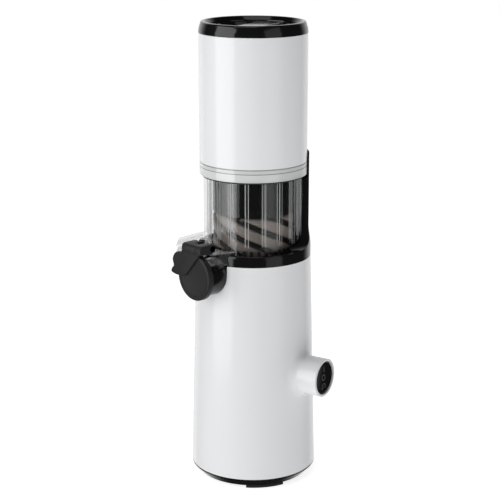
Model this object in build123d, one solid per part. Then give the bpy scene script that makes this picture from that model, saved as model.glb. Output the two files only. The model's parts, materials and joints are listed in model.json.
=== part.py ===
from build123d import *
import os
from math import acos, cos, pi, radians, sin, sqrt, tan

# Vertical slow juicer. Millimetres, +Z up, origin on the main axis at the surface it stands on.
# The spout points along -Y and the rear spine stands along +Y.

# ---- Driving dimensions ----
fit_gap = 0.3            # standing clearance between pieces that come apart
running_gap = 0.05       # radial clearance of a pin or shaft that turns

# Juicing bowl
bowl_r = 45.0
bowl_wall = 3.0
bowl_height = 112.2
bowl_floor = 3.0
rib_count = 18
rib_width = 2.6
rib_depth = 1.2
lug_depth = 1.6

# Hopper, lid and their rings
skirt_gap = 0.6
skirt_wall = 2.8
skirt_height = 11.5
hopper_height = 114.0
hopper_wall = 2.2
trim_height = 10.0
trim_narrowing = 2.3
mouth_r = 40.3
lid_gap = 0.6
lid_depth = 20.2
lid_recess = 4.0
grip_width = 22.0

# Body, collar and base
body_height = 199.0
body_taper = 5.2
body_wall = 2.5
base_ring_height = 8.0
base_ring_inset = 6.1
plate_thickness = 3.0
foot_height = 3.0
foot_arc = 40.0
foot_width = 12.0
foot_ring_width = 3.0
collar_rise = 10.0
collar_floor = 3.0
spine_half_angle = 48.0
spine_wall = 1.4
spine_flare = 2.1
spine_height = 95.0

# Spout and its cap
spout_r = 16.5
spout_wall = 2.5
spout_reach = 66.0
spout_drop = 9.5         # spout axis below the body's top edge
spout_rise = 21.5        # flat top of the spout above its axis
flange_r = 19.5
flare_half_width = 23.0
flare_reach = 57.0
flange_thickness = 2.0
nose_wall = 1.6
hinge_pin_r = 2.0
hinge_pin_length = 23.6
hinge_hook_wall = 2.0
cap_r = 21.3
cap_thickness = 5.4
lever_thickness = 2.4
lever_left = 13.0
lever_right = 12.0

# Pulp chute
chute_angle = -135.0
chute_width = 24.0
chute_reach = 69.5
chute_wall = 2.0

# Auger and strainer
auger_gap = 0.6
strainer_wall = 2.5
juice_gap = 2.5
screw_height = 36.0
screw_starts = 6
screw_lead = 95.0
groove_share = 0.36      # part of each turn that is groove
groove_depth = 3.6
drum_height = 34.0
drum_wall = 3.0

# Switch
switch_angle = 15.0
switch_z = 103.8
switch_reach = 77.0
switch_r = 17.6
switch_rim = 2.2
rocker_r = 14.4
rocker_thickness = 3.0
rocker_sink = 0.8
rocker_pin_r = 1.5

# Gearbox: two planetary stages that share one ring gear
gear_module = 1.25
pressure_angle = 25.0
sun_teeth = 12
planet_teeth = 18
ring_teeth = sun_teeth + 2 * planet_teeth
planet_count = 3
gear_width = 12.0
backlash = 0.22
planet_pin_r = 2.5
carrier_thickness = 4.0
ring_wall = 3.4
housing_wall = 3.0
shaft_r = 8.0
hex_across = 12.0
hex_gap = 0.3

# Motor
motor_r = 31.0
motor_length = 62.0
can_wall = 2.4
magnet_thickness = 4.2
air_gap = 0.9
motor_shaft_r = 4.0
bearing_width = 4.4
bearing_r = 8.0
fan_r = 26.0

# Supply cord inlet and board
cord_bore_r = 3.6
inlet_r = 7.0
inlet_z = 26.0
board_z = 21.0

# ---- Sizes that follow ----
body_z0 = foot_height + base_ring_height
body_z1 = body_z0 + body_height
hopper_r = bowl_r + skirt_gap + skirt_wall
spine_inner_r = bowl_r + skirt_gap
spine_skirt_r = hopper_r + 0.5
spine_top_r = spine_skirt_r + spine_wall
body_top_r = spine_top_r + spine_flare
body_bottom_r = body_top_r + body_taper
spout_z = body_z1 - spout_drop
nose_inner_r = spout_r + 0.8
nose_outer_r = nose_inner_r + nose_wall
nose_reach = spout_reach - flange_thickness - 0.4
well_r = bowl_r + 1.2
well_z = spout_z - spout_r - 2.5
collar_z1 = body_z1 + collar_rise
bowl_z0 = well_z + fit_gap
bowl_z1 = bowl_z0 + bowl_height
skirt_z0 = bowl_z1 - 8.5
skirt_z1 = skirt_z0 + skirt_height
hopper_z1 = skirt_z1 + hopper_height
top_z = hopper_z1 + trim_height
spine_z1 = body_z1 + spine_height
bowl_inner_r = bowl_r - bowl_wall
strainer_r = bowl_inner_r - juice_gap
auger_r = strainer_r - strainer_wall - auger_gap
screw_z0 = collar_z1 - 5.0
screw_z1 = screw_z0 + screw_height
drum_z1 = screw_z1 + drum_height
hub_r = shaft_r + 5.0
hub_z1 = bowl_z0 + 9.7
cover_z = well_z - collar_floor - 21.0
housing_height = 48.0
housing_z = cover_z - housing_height
stage_1_z = housing_z + 5.0
carrier_1_z = stage_1_z + gear_width + 1.0
stage_2_z = carrier_1_z + carrier_thickness + 2.0
carrier_2_z = stage_2_z + gear_width + 1.0
pitch_ring_r = gear_module * ring_teeth / 2
ring_outer_r = pitch_ring_r + 1.25 * gear_module + ring_wall
ear_r = ring_outer_r + 7.0
planet_orbit_r = gear_module * (sun_teeth + planet_teeth) / 2
motor_z1 = housing_z
motor_z0 = motor_z1 - motor_length
rotor_r = motor_r - can_wall - magnet_thickness - air_gap
hinge_z = spout_z + spout_rise + hinge_pin_r + hinge_hook_wall + 0.5
hinge_reach = spout_reach - flange_thickness - hinge_pin_r - hinge_hook_wall - 0.4
cap_reach = spout_reach + 0.4
screw_circle_r = 45.0
foot_r = body_bottom_r - base_ring_inset - 0.3
UP = (Align.CENTER, Align.CENTER, Align.MIN)


# ---- Helpers ----
def rod(r, z0, z1, x=0.0, y=0.0):
    """Round bar parallel to the main axis."""
    return Pos(x, y, z0) * Cylinder(r, z1 - z0, align=UP)


def tube(r_out, r_in, z0, z1, x=0.0, y=0.0):
    """Round tube parallel to the main axis."""
    return rod(r_out, z0, z1, x, y) - rod(r_in, z0, z1, x, y)


def turned(points, angle=360.0, start=0.0):
    """Solid turned about the main axis from corners given as (radius, height)."""
    outline = make_face(Polyline(*points, close=True))
    return Rot(0, 0, start) * revolve(Plane.XZ * outline, Axis.Z, angle)


def radial_rod(r, x0, x1, z):
    """Round bar along +X, as seen before a piece is turned to its angle."""
    return Pos(x0, 0, z) * Rot(0, 90, 0) * Cylinder(r, x1 - x0, align=UP)


def radial_cone(r0, r1, x0, x1, z):
    """Tapered bar along +X."""
    return Pos(x0, 0, z) * Rot(0, 90, 0) * Cone(r0, r1, x1 - x0, align=UP)


def block(x0, x1, y0, y1, z0, z1):
    """Rectangular bar between six planes."""
    return Pos((x0 + x1) / 2, (y0 + y1) / 2, (z0 + z1) / 2) * Box(x1 - x0, y1 - y0, z1 - z0)


def trough_bar(r, x0, x1, z, top_z):
    """U-section bar along +X: half round below z, straight sides up to top_z."""
    outline = Polyline((r, 0), (r, top_z - z), (-r, top_z - z), (-r, 0))
    outline += ThreePointArc((-r, 0), (0, -r), (r, 0))
    return Pos(x0, 0, z) * extrude(Plane.YZ * make_face(outline), x1 - x0)


def around(piece, count, start=0.0):
    """Copies of a piece, evenly spaced about the main axis."""
    return [Rot(0, 0, start + 360.0 * i / count) * piece for i in range(count)]


def wall_r(z):
    """Outer radius of the tapered body at a height."""
    return body_bottom_r - body_taper * (z - body_z0) / body_height


def gear_outline(teeth, thicker, tip, root, flank_points=4):
    """Involute gear outline about the origin, with a tooth centred on +X."""
    pitch_r = gear_module * teeth / 2
    base_r = pitch_r * cos(radians(pressure_angle))
    roll = radians(pressure_angle)
    half_pitch = pi / (2 * teeth) + thicker / (2 * pitch_r) + tan(roll) - roll
    low = max(base_r, root)
    flank = []
    for i in range(flank_points):
        r = low + (tip - low) * i / (flank_points - 1)
        a = acos(min(1.0, base_r / r))
        flank.append((r, half_pitch - tan(a) + a))
    if root < base_r - 0.01:
        flank.insert(0, (root, flank[0][1]))
    corners = []
    for t in range(teeth):
        mid = 2 * pi * t / teeth
        for r, half in flank:
            corners.append((r * cos(mid - half), r * sin(mid - half)))
        for r, half in reversed(flank):
            corners.append((r * cos(mid + half), r * sin(mid + half)))
    return make_face(Polyline(*corners, close=True))


def gear(teeth, bore_r, z0, z1, tip_share=0.9):
    """Spur gear with a round bore and a tooth centred on +X."""
    pitch_r = gear_module * teeth / 2
    outline = gear_outline(teeth, -backlash, pitch_r + tip_share * gear_module, pitch_r - 1.25 * gear_module)
    return Pos(0, 0, z0) * extrude(outline, z1 - z0) - rod(bore_r, z0, z1)


# ---- Base and body ----
def foot_pads():
    """Rubber foot: three pads at the rim, joined by a narrow ring that also stands on the surface."""
    pad = turned([(foot_r - foot_width, 0), (foot_r - 0.8, 0), (foot_r, 0.8), (foot_r, foot_height + 1),
                  (foot_r - foot_width, foot_height + 1)], foot_arc, -foot_arc / 2)
    ring_r = foot_r - foot_width + 1
    return tube(ring_r, ring_r - foot_ring_width, 0, foot_height + 1) + around(pad, 3, 90)


def base_plate():
    rim_r = body_bottom_r - body_wall - 0.4
    floor_z = foot_height + plate_thickness
    plate = turned([(0, foot_height), (body_bottom_r - base_ring_inset, foot_height),
                    (body_bottom_r, body_z0 - 1.2), (body_bottom_r, body_z0), (rim_r, body_z0),
                    (rim_r, body_z0 + 6), (rim_r - 2, body_z0 + 6), (rim_r - 2, floor_z), (0, floor_z)])
    vent = block(20, 36, -1.6, 1.6, foot_height, floor_z)
    plate -= Part() + around(vent, 16, 11.25)
    plate -= foot_pads()
    screw_hole = rod(1.9, foot_height, floor_z, screw_circle_r)
    screw_hole += rod(3.8, foot_height, foot_height + 2, screw_circle_r)
    plate -= Part() + around(screw_hole, 3, 30)
    post = rod(3, floor_z, board_z, 30, 20)
    posts = [post, mirror(post, Plane.XZ)]
    return plate + [Rot(0, 0, a) * each for a in (0, 180) for each in posts]


def base_screws():
    screw = rod(3.4, foot_height + 0.5, foot_height + 2, screw_circle_r)
    screw += rod(1.7, foot_height + 2, foot_height + 22, screw_circle_r)
    return around(screw, 3, 30)


def body_shell():
    shell = turned([(body_bottom_r - body_wall, body_z0), (body_bottom_r, body_z0), (body_top_r, body_z1),
                    (body_top_r - body_wall, body_z1)])
    floor_z = foot_height + plate_thickness
    post = rod(4, floor_z, 42, screw_circle_r)
    post += block(screw_circle_r, wall_r(42) - body_wall / 2, -1.5, 1.5, body_z0 + 8, 42)
    post -= rod(1.7, floor_z, floor_z + 24, screw_circle_r)
    shell += around(post, 3, 30)
    nose = Rot(0, 0, -90) * trough_bar(nose_outer_r + 0.1, 30, 80, spout_z, body_z1 + 1)
    hole = Rot(0, 0, switch_angle) * radial_rod(switch_r, 40, 80, switch_z)
    inlet = Rot(0, 0, 90) * radial_rod(inlet_r, 40, 80, inlet_z)
    return shell - nose - hole - inlet


def cord_inlet():
    """Strain-relief bush for the supply cord, at the low rear of the body."""
    out_r = wall_r(inlet_z)
    bush = radial_rod(inlet_r, out_r - 8, out_r + 1.2, inlet_z)
    bush += radial_rod(inlet_r + 2, out_r - 8, out_r - 6, inlet_z)
    bush += radial_cone(inlet_r - 1, cord_bore_r + 1.4, out_r + 1.2, out_r + 5, inlet_z)
    return Rot(0, 0, 90) * (bush - radial_rod(cord_bore_r, out_r - 8, out_r + 5, inlet_z))


# ---- Collar and rear spine ----
def collar():
    spigot_r = body_top_r - body_wall - 0.1
    floor_z = well_z - collar_floor
    ring = turned([(shaft_r + 4, floor_z), (well_r + 2.4, floor_z), (well_r + 2.4, body_z1 - 8),
                   (spigot_r, body_z1 - 8), (spigot_r, body_z1), (body_top_r, body_z1),
                   (body_top_r, collar_z1 - 2.2), (body_top_r - 0.7, collar_z1 - 0.7),
                   (body_top_r - 2.2, collar_z1), (well_r + 1.5, collar_z1 - 1.2), (well_r, collar_z1 - 3),
                   (well_r, well_z), (shaft_r + 4, well_z)])
    trough = radial_rod(nose_outer_r, well_r, nose_reach, spout_z)
    trough -= block(well_r - 1, nose_reach + 1, -40, 40, body_z1 - 0.5, body_z1 + 30)
    channel = trough_bar(nose_inner_r, 20, 80, spout_z, collar_z1 + 1)
    inside = rod(well_r, well_z, collar_z1 + 1)
    front = Rot(0, 0, -90)
    ring = ring + front * trough - front * channel - inside
    ring -= front * spout_flare(0.6, body_z1 + 0.9, collar_z1 + 1)
    notch = block(40, 80, -chute_width / 2 - 0.6, chute_width / 2 + 0.6, body_z1 + 1.2, collar_z1 + 1)
    ring -= Rot(0, 0, chute_angle) * notch
    boss = rod(4.5, cover_z + 5, floor_z, ear_r) - rod(1.9, cover_z + 5, floor_z - 2, ear_r)
    return ring - spine_solid() + around(boss, 4, 45)


def spine_blank():
    """Rear wall section turned about the axis, before its sides are trimmed."""
    low_z = collar_z1 - 2.4
    bend_z = body_z1 + 29
    outline = Polyline((well_r + 1.6, low_z), (body_top_r, low_z), (body_top_r, body_z1 + 9))
    outline += Spline((body_top_r, body_z1 + 9), (spine_top_r, bend_z), tangents=((0, 1), (0, 1)))
    outline += Polyline((spine_top_r, bend_z), (spine_top_r, spine_z1 - 1), (spine_top_r - 0.5, spine_z1),
                        (spine_skirt_r, spine_z1), (spine_skirt_r, skirt_z0 - 3),
                        (spine_inner_r, skirt_z0 - 4), (spine_inner_r, collar_z1 + 2), (well_r + 1.6, low_z))
    return Rot(0, 0, 2) * revolve(Plane.XZ * make_face(outline), Axis.Z, 176)


def spine_solid():
    """The spine's outer shape: wide where it leaves the collar, then an S-curve into a slim upright."""
    wide = body_top_r - 0.5
    slim = spine_top_r * sin(radians(spine_half_angle))
    low_z = collar_z1 - 2.4
    high_z = body_z1 + 36
    side = Spline((wide, collar_z1), (slim, high_z), tangents=((-1, 0.25), (0, 1)))
    outline = Polyline((0, low_z), (wide, low_z), (wide, collar_z1)) + side
    outline += Polyline((slim, high_z), (slim, spine_z1 - 5), (slim - 5, spine_z1), (0, spine_z1), (0, low_z))
    half = extrude(Plane.XZ * make_face(outline), -80)
    return spine_blank() & (half + mirror(half, Plane.YZ))


def sensor_pocket(grow):
    """Recess in the spine's back that takes the sensor, its wires and the cover over them."""
    z0 = collar_z1 + 12
    z1 = skirt_z0 - 8
    return block(-7 - grow, 7 + grow, spine_top_r - 2.6, spine_top_r + 5, z0 - grow, z1 + grow)


def spine():
    return spine_solid() - sensor_pocket(0)


def spine_cover():
    plate = turned([(spine_top_r - 1.4, collar_z1), (spine_top_r, collar_z1), (spine_top_r, skirt_z0),
                    (spine_top_r - 1.4, skirt_z0)], 40, 70)
    return plate & sensor_pocket(-0.15)


def reed_sensor():
    z1 = skirt_z0 - 10
    return block(-4, 4, spine_top_r - 2.5, spine_top_r - 1.7, z1 - 14, z1)


def shaft_seal():
    return tube(shaft_r + 4, shaft_r + fit_gap, well_z - collar_floor - 1, well_z - 0.4)


# ---- Juicing bowl ----
def chute_outline(inset):
    """Side outline of the pulp chute: level floor, roof that slopes down outwards."""
    floor_z = body_z1 + 1.5 + inset
    return [(40, floor_z), (chute_reach, floor_z), (chute_reach, body_z1 + 10.5 - inset),
            (bowl_r + 4, body_z1 + 16.5 - inset), (40, body_z1 + 16.5 - inset)]


def chute_block(inset):
    outline = Plane.XZ * make_face(Polyline(*chute_outline(inset), close=True))
    return Rot(0, 0, chute_angle) * extrude(outline, chute_width / 2 - inset, both=True)


def spout_flare(grow, z0, z1):
    """Wedge between bowl and spout, along +X: broad at the bowl and as wide as the spout further out."""
    near = flare_half_width + grow
    far = spout_r + grow
    outline = Polyline((38, near), (38, -near), (flare_reach, -far), (flare_reach, far), close=True)
    return Pos(0, 0, z0) * extrude(make_face(outline), z1 - z0)


def juice_bowl():
    shell = tube(bowl_r, bowl_inner_r, bowl_z0, bowl_z1) + rod(bowl_r, bowl_z0, bowl_z0 + bowl_floor)
    front = Rot(0, 0, -90)
    shell += front * spout_flare(0, body_z1 + 1.5, spout_z + spout_rise)
    flange_back = spout_reach - flange_thickness
    shell += front * trough_bar(spout_r, bowl_inner_r - 4, flange_back, spout_z, spout_z + spout_rise)
    shell += front * radial_rod(flange_r, flange_back, spout_reach, spout_z)
    pin = Pos(hinge_reach, 0, hinge_z) * Rot(90, 0, 0) * Cylinder(hinge_pin_r, hinge_pin_length)
    post_z0 = spout_z + spout_rise - 1
    post = block(hinge_reach - hinge_pin_r, hinge_reach + hinge_pin_r, -2.5, 2.5, post_z0, hinge_z)
    shell += front * (pin + post)
    shell += chute_block(0)
    inside = rod(bowl_inner_r, bowl_z0 + bowl_floor, bowl_z1)
    shell = shell - inside - chute_block(chute_wall)
    shell -= front * radial_rod(spout_r - spout_wall, bowl_inner_r - 6, spout_reach, spout_z)
    half = rib_width / 2
    rib = block(bowl_inner_r - rib_depth, bowl_inner_r + 0.5, -half, half, collar_z1 + 10, drum_z1)
    shell += around(rib, rib_count, 10)
    lug_r = bowl_r + lug_depth
    lug = turned([(bowl_r - 1, bowl_z1 - 6), (lug_r, bowl_z1 - 6), (lug_r, bowl_z1 - 3.5),
                  (bowl_r - 1, bowl_z1 - 2.4)], 9, -4.5)
    shell += around(lug, 3, 30)
    shell += rod(hub_r, bowl_z0, hub_z1)
    return shell - rod(shaft_r + 2.5, bowl_z0, hub_z1)


def bowl_gasket():
    return tube(bowl_r + 1.6, bowl_r, skirt_z0 - fit_gap - 1.3, skirt_z0 - fit_gap)


def bowl_seal():
    return tube(shaft_r + 2.5, shaft_r + fit_gap, bowl_z0, hub_z1 + 0.8)


def strainer():
    """Slotted cup round the foot of the auger, with a comb of teeth on its rim."""
    z0 = bowl_z0 + bowl_floor
    rim_z = screw_z0 + 1
    cup = tube(strainer_r, strainer_r - strainer_wall, z0, rim_z)
    slot = block(strainer_r - strainer_wall - 1, strainer_r + 1, -0.5, 0.5, z0 + 6, rim_z - 6)
    cup -= Part() + around(slot, 36, 0)
    tooth = block(strainer_r - strainer_wall + 0.2, strainer_r - 0.2, -1.4, 1.4, rim_z - 1, rim_z + 5)
    return cup + around(tooth, 36, 5)


# ---- Auger ----
def groove_section():
    """Cross-section of the screw: a disc with a groove between each pair of flights."""
    pitch = 360.0 / screw_starts
    half = pitch * groove_share / 2
    outline = Circle(auger_r)
    floor_r = auger_r - groove_depth
    flare = 1.5
    cut = make_face(Polyline(*[((auger_r + 3) * cos(radians(a)), (auger_r + 3) * sin(radians(a))) for a in
                               (-half - flare, 0, half + flare)],
                             *[(floor_r * cos(radians(a)), floor_r * sin(radians(a))) for a in
                               (half - flare, 0, -half + flare)], close=True))
    for i in range(screw_starts):
        outline -= Rot(0, 0, i * pitch) * cut
    return outline


def auger_screw():
    turn = -360.0 * screw_height / screw_lead
    section = groove_section().faces()[0]
    screw = Solid.extrude_linear_with_rotation(section.outer_wire(), (0, 0, 0), (0, 0, screw_height), turn)
    return Pos(0, 0, screw_z0) * screw - rod(shaft_r + 1.5, screw_z0, socket_top())


def socket_top():
    return screw_z0 + 12


def auger_foot():
    """Lower cone of the auger, hollow above the bowl's hub."""
    low_z = bowl_z0 + bowl_floor + 2.5
    seat_z = hub_z1 + 2
    return turned([(hub_r + 1, low_z), (auger_r - 4, low_z), (auger_r, low_z + 8), (auger_r, screw_z0),
                   (shaft_r + 1.5, screw_z0), (shaft_r + 1.5, seat_z), (hub_r + 1, seat_z)])


def drive_socket():
    """Steel hexagon socket in the auger's foot that drops over the output shaft."""
    z0 = hub_z1 + 2
    hexagon = RegularPolygon(hex_across / 2 + hex_gap, 6, major_radius=False)
    return rod(shaft_r + 1.5, z0, socket_top()) - Pos(0, 0, z0) * extrude(hexagon, socket_top() - z0 - 2)


def feed_drum():
    """Hollow upper auger: a drum with a feed window and a cutting wing across it."""
    drum = rod(auger_r, screw_z1, drum_z1) - rod(auger_r - drum_wall, screw_z1 + 4, drum_z1)
    out_r = auger_r + 1
    window = turned([(10, screw_z1 + 6), (out_r, screw_z1 + 6), (out_r, drum_z1 - 5), (10, drum_z1 - 5)],
                    96, 40)
    wing = block(0, auger_r - 1, -1.5, 1.5, screw_z1 + 3, drum_z1 - 8)
    hub = rod(6, screw_z1 + 3, drum_z1 - 4)
    return drum - window + [Rot(0, 0, a) * wing for a in (20, 200)] + hub


# ---- Hopper and lid ----
def hopper_skirt():
    ring = turned([(hopper_r - skirt_wall, skirt_z0), (hopper_r, skirt_z0), (hopper_r, skirt_z1),
                   (mouth_r + 2.3, skirt_z1), (mouth_r + 2.3, bowl_z1 + 0.5),
                   (hopper_r - skirt_wall, bowl_z1 + 0.5)])
    channel_r = bowl_r + lug_depth + 0.4
    channel = turned([(bowl_r, skirt_z0), (channel_r, skirt_z0), (channel_r, bowl_z1 - 1.6),
                      (bowl_r, bowl_z1 - 1.6)], 13, -6.5)
    return ring - (Part() + around(channel, 3, 30))


def hopper_tube():
    return tube(hopper_r, hopper_r - hopper_wall, skirt_z1, hopper_z1)


def feed_chute():
    seat_z = top_z - lid_recess - lid_depth - fit_gap
    lip_r = bowl_inner_r - 0.8
    return turned([(mouth_r - 1.3, skirt_z0 + 1), (lip_r, skirt_z0 + 1), (lip_r, bowl_z1 + 0.5),
                   (mouth_r + 2.3, bowl_z1 + 0.5), (mouth_r + 2.3, hopper_z1), (mouth_r, hopper_z1),
                   (mouth_r, seat_z), (mouth_r - 2, seat_z), (mouth_r, seat_z - 4), (mouth_r, bowl_z1 + 3)])


def hopper_magnet():
    return block(-5, 5, hopper_r - hopper_wall - 3.2, hopper_r - hopper_wall - 0.6, skirt_z1, skirt_z1 + 8)


def trim_ring():
    rise = 0.3
    outline = Polyline((mouth_r, hopper_z1), (hopper_r + rise, hopper_z1), (hopper_r + rise, hopper_z1 + 2))
    outline += Spline((hopper_r + rise, hopper_z1 + 2), (hopper_r - trim_narrowing - 1.8, top_z),
                      tangents=((0, 1), (-1, 0)))
    outline += Polyline((hopper_r - trim_narrowing - 1.8, top_z), (mouth_r + 1.6, top_z),
                        (mouth_r, top_z - 1.8), (mouth_r, hopper_z1))
    return revolve(Plane.XZ * make_face(outline), Axis.Z, 360)


def finger_wells(grow, z0):
    """Two D-shaped recesses either side of the lid's grip bar."""
    z1 = top_z - lid_recess
    well_round = rod(mouth_r - lid_gap - 6.5 + grow, z0, z1)
    half = grip_width / 2 - grow
    bar = block(-half, half, -60, 60, z0, z1)
    return Rot(0, 0, 20) * (well_round - bar)


def lid_cap():
    r = mouth_r - lid_gap
    z1 = top_z - lid_recess
    z0 = z1 - lid_depth
    cup = rod(r, z0, z1) - rod(r - 2.2, z0, z1 - 2.2)
    return cup + finger_wells(2, z0 + 2.4) - finger_wells(0, z0 + 4.4)


def lid_liner():
    r = mouth_r - lid_gap - 2.2
    z0 = top_z - lid_recess - lid_depth
    return rod(r, z0, z0 + 2)


# ---- Spout cap, built along +X and turned to the front ----
def cap_disc():
    disc = radial_rod(cap_r, cap_reach, cap_reach + cap_thickness, spout_z)
    disc = fillet(disc.edges().filter_by(GeomType.CIRCLE).group_by(Axis.X)[-1], 1.4)
    raised = radial_rod(cap_r - 3.2, cap_reach + cap_thickness, cap_reach + cap_thickness + 0.5, spout_z)
    raised -= radial_rod(cap_r - 4.2, cap_reach + cap_thickness, cap_reach + cap_thickness + 0.5, spout_z)
    return Rot(0, 0, -90) * (disc + raised)


def lever_bar(y0, y1, x0):
    """Stretch of the lever's top bar, with its front top edge rounded."""
    x1 = cap_reach + cap_thickness + lever_thickness
    over_z = spout_z + spout_rise + 0.4
    top = hinge_z + hinge_pin_r + hinge_hook_wall
    round_r = 4.0
    middle = round_r * (1 - cos(radians(45)))
    outline = Polyline((x1, top - round_r), (x1, over_z), (x0, over_z), (x0, top), (x1 - round_r, top))
    outline += ThreePointArc((x1 - round_r, top), (x1 - middle, top - middle), (x1, top - round_r))
    return Pos(0, y1, 0) * extrude(Plane.XZ * make_face(outline), y1 - y0)


def cap_lever():
    """Lever plate over the cap, with a pull tab at its left and two arms that hook on the hinge pin."""
    front = cap_reach + cap_thickness
    hook_r = hinge_pin_r + hinge_hook_wall
    rise = hinge_z - spout_z
    outline = Polyline((-lever_left, 22.5), (-lever_left, rise), (lever_right, rise),
                       (lever_right, 24.1), (-7.9, 1.2))
    outline += Spline((-7.9, 1.2), (-14, -1), (-23, -1.2), (-28.8, 0.6), (-27.8, 4.0), (-25.2, 6.8),
                      (-26.9, 12.4), (-24.4, 17.6), (-20.4, 20.1), (-15.8, 20.8), (-lever_left, 22.5))
    plate = Pos(front, 0, spout_z) * extrude(Plane.YZ * make_face(outline), lever_thickness)
    groove = radial_rod(cap_r - 3.2, front, front + 0.5, spout_z)
    plate -= groove - radial_rod(cap_r - 4.2, front, front + 0.5, spout_z)
    lever = plate + lever_bar(-lever_left, lever_right, cap_reach)
    for y0, y1 in ((-lever_left, -3.2), (3.2, lever_right)):
        middle = Pos(hinge_reach, (y0 + y1) / 2, hinge_z) * Rot(90, 0, 0)
        gap = block(hinge_reach - 6, hinge_reach, y0, y1, hinge_z - 1.6, hinge_z + 1.2)
        lever += middle * Cylinder(hook_r, y1 - y0) + lever_bar(y0, y1, hinge_reach)
        lever -= middle * Cylinder(hinge_pin_r + running_gap, y1 - y0) + gap
    return Rot(0, 0, -90) * lever


def cap_seal():
    bore_r = spout_r - spout_wall
    return Rot(0, 0, -90) * radial_cone(bore_r - 3, bore_r - 1.2, cap_reach - 2.8, cap_reach, spout_z)


# ---- Switch, built along +X and turned to its angle ----
def switch_boss():
    inner_wall = sqrt((wall_r(switch_z) - body_wall) ** 2 - (switch_r + 2) ** 2)
    boss = radial_rod(switch_r, inner_wall - 2, switch_reach, switch_z)
    boss = fillet(boss.edges().filter_by(GeomType.CIRCLE).group_by(Axis.X)[-1], 0.5)
    boss += radial_rod(switch_r + 2, inner_wall - 3, inner_wall - 1, switch_z)
    boss -= radial_rod(switch_r - switch_rim, inner_wall - 3, switch_reach, switch_z)
    return Rot(0, 0, switch_angle) * boss


def rocker_pin_x():
    return switch_reach - rocker_sink - rocker_thickness - rocker_pin_r - 0.3


def switch_body():
    """Fixed switch block behind the rocker, with the two ears that hold its pin."""
    x = rocker_pin_x()
    case = radial_rod(switch_r - switch_rim, x - 24, x - 7, switch_z)
    ears = [block(x - 8, x + 0.6, s * 5.5 - 1.2, s * 5.5 + 1.2, switch_z - 3, switch_z + 3) for s in (-1, 1)]
    tabs = [block(x - 32, x - 24, -3, 3, switch_z + s * 7 - 0.4, switch_z + s * 7 + 0.4) for s in (-1, 0, 1)]
    bore = Pos(x, 0, switch_z) * Rot(90, 0, 0) * Cylinder(rocker_pin_r, 20)
    return Rot(0, 0, switch_angle) * (case + ears + tabs - bore)


def switch_pin():
    pin = Rot(90, 0, 0) * Cylinder(rocker_pin_r, 22)
    return Rot(0, 0, switch_angle) * Pos(rocker_pin_x(), 0, switch_z) * pin


def switch_rocker():
    face = switch_reach - rocker_sink
    x = rocker_pin_x()
    disc = radial_rod(rocker_r, face - rocker_thickness, face, switch_z)
    disc = fillet(disc.edges().filter_by(GeomType.CIRCLE).group_by(Axis.X)[-1], 0.6)
    for side in (-1, 1):
        lug_y = side * 9
        disc += block(x - 2.6, face - rocker_thickness + 0.4, lug_y - 1.5, lug_y + 1.5,
                      switch_z - 3, switch_z + 3)
        disc -= Pos(x, side * 9, switch_z) * Rot(90, 0, 0) * Cylinder(rocker_pin_r + running_gap, 3)
    return Rot(0, 0, switch_angle) * disc


# ---- Gearbox ----
def ring_gear():
    z0 = stage_1_z - 1
    z1 = carrier_2_z
    root_r = pitch_ring_r + 1.25 * gear_module
    tip_r = pitch_ring_r - 0.8 * gear_module
    outline = gear_outline(ring_teeth, backlash, root_r, tip_r, 3)
    return rod(ring_outer_r, z0, z1) - Pos(0, 0, z0) * extrude(outline, z1 - z0)


def sun_gear(z0, bore_r):
    return Rot(0, 0, 180 / sun_teeth) * gear(sun_teeth, bore_r, z0, z0 + gear_width)


def planet_gear(z0, index):
    planet = Pos(planet_orbit_r, 0, 0) * gear(planet_teeth, planet_pin_r + running_gap, z0, z0 + gear_width)
    return Rot(0, 0, 360.0 * index / planet_count) * planet


def carrier(plate_z, gear_z, hub_bore_r):
    """Planet carrier: a plate above the planets with one pin down through each."""
    plate = rod(planet_orbit_r + 6, plate_z, plate_z + carrier_thickness)
    pin = rod(planet_pin_r, gear_z - 0.5, plate_z, planet_orbit_r)
    return plate + around(pin, planet_count) - rod(hub_bore_r, plate_z, plate_z + carrier_thickness)


def carrier_1():
    """First carrier, with a stub shaft on top for the second stage's sun."""
    return carrier(carrier_1_z, stage_1_z, 1) + rod(motor_shaft_r, carrier_1_z, stage_2_z + gear_width)


def carrier_2():
    return carrier(carrier_2_z, stage_2_z, shaft_r)


def output_shaft():
    hexagon = RegularPolygon(hex_across / 2, 6, major_radius=False)
    shaft = rod(shaft_r, carrier_2_z, hub_z1)
    tip_z = socket_top() - 4
    bar = Pos(0, 0, hub_z1) * extrude(hexagon, tip_z - hub_z1)
    return shaft + chamfer(bar.faces().sort_by(Axis.Z)[-1].edges(), 1)


def ear_ring(r_in, z0, z1, hole_r):
    """Round case section with four screw ears."""
    case = rod(ring_outer_r + housing_wall, z0, z1)
    case += around(rod(4.5, z0, z1, ear_r) + block(ear_r - 7, ear_r, -4.5, 4.5, z0, z1), 4, 45)
    case -= Part() + around(rod(hole_r, z0, z1, ear_r), 4, 45)
    return case - rod(r_in, z0, z1)


def gearbox_housing():
    low = ear_ring(motor_shaft_r + 5, housing_z, housing_z + 3, 1.9)
    ear_cut = tube(ring_outer_r + 20, ring_outer_r + housing_wall, housing_z + 3, cover_z - 6)
    return low + ear_ring(ring_outer_r, housing_z + 3, cover_z, 1.9) - ear_cut


def gearbox_cover():
    cover = ear_ring(bearing_seat_r(), cover_z, cover_z + 5, 1.9)
    boss_z1 = well_z - collar_floor - 4
    return cover + tube(bearing_seat_r() + 3, bearing_seat_r(), cover_z + 5, boss_z1)


def bearing_seat_r():
    return shaft_r + 6


def output_bearing():
    return tube(bearing_seat_r(), shaft_r + running_gap, cover_z + 6, well_z - collar_floor - 5)


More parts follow.
